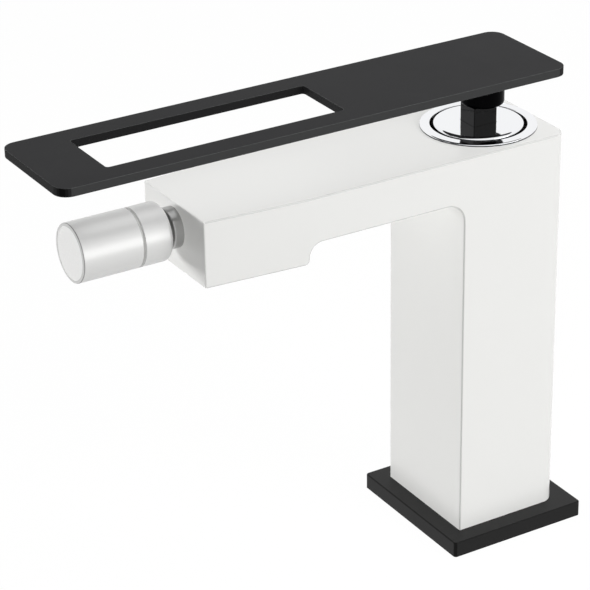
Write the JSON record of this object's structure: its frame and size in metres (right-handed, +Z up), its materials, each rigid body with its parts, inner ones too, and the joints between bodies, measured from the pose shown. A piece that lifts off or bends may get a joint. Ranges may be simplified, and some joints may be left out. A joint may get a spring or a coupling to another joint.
{
  "type": "bidet mixer tap",
  "caption": "Deck-mounted bidet mixer with a square column, flat spout arm, slotted flat lever and a swivelling aerator on a ball joint.",
  "frame": {"origin": "centre of the foot plate's underside, on the axis of the hose passage", "axes": "+Z up along the column and the cartridge axis, -Y the way the spout points, +X to the right seen from the user's side behind the spout"},
  "size_m": [0.061, 0.2033, 0.1792],
  "materials": {
    "white_enamel": "gloss white powder coat",
    "black_satin": "satin black powder coat",
    "black_gloss": "gloss black lacquer",
    "lever_black": "satin black powder coat",
    "chrome": "polished chrome plate",
    "satin_metal": "satin nickel plate",
    "brass": "turned",
    "steel": "ground",
    "ceramic": "lapped ceramic",
    "plastic": "moulded",
    "plastic_grey": "moulded",
    "rubber": "moulded"
  },
  "bodies": {
    "housing": {"body": "white_enamel", "base_plate": "black_satin", "base_gasket": "rubber", "cartridge_base": "plastic", "port_seals": "rubber", "cartridge_housing": "plastic", "fixed_disc": "ceramic", "retaining_nut": "brass", "trim_ring": "chrome", "ball_stem": "satin_metal", "stem_seal": "rubber"},
    "rotor": {"spindle_guide": "plastic", "spindle_pin": "steel"},
    "lever": {"spindle": "brass", "spindle_sleeve": "black_gloss", "cover_disc": "chrome", "lever_boss": "black_gloss", "lever_grub_screw": "steel", "lever_plate": "lever_black"},
    "carrier": {"disc_carrier": "plastic_grey", "moving_disc": "ceramic"},
    "swivel_ring": {"ball_o_ring": "rubber"},
    "spray_head": {"swivel_socket": "satin_metal", "ball_seat": "plastic", "aerator_sleeve": "satin_metal", "aerator_washer": "rubber", "aerator_cage": "plastic", "aerator_grid": "plastic"}
  },
  "joints": [
    {"name": "lever_turn", "type": "hinge", "parent": "housing", "child": "rotor", "pos_m": [0, 0, 0.1494], "axis": [0, 0, 1], "range_deg": [-50, 50]},
    {"name": "lever_lift", "type": "hinge", "parent": "rotor", "child": "lever", "pos_m": [0, 0, 0.1494], "axis": [-1, 0, 0], "range_deg": [0, 20]},
    {"name": "disc_slide", "type": "slide", "parent": "rotor", "child": "carrier", "axis": [0, -1, 0], "range_m": [0, 0.0039]},
    {"name": "swivel_spin", "type": "hinge", "parent": "housing", "child": "swivel_ring", "pos_m": [0, -0.136, 0.1458], "axis": [0, -1, 0], "continuous": true},
    {"name": "swivel_tilt", "type": "hinge", "parent": "swivel_ring", "child": "spray_head", "pos_m": [0, -0.136, 0.1458], "axis": [1, 0, 0], "range_deg": [-15, 15]}
  ],
  "couplings": [
    {"joint": "disc_slide", "follows": "lever_lift", "m_per_rad": 0.01117}
  ]
}
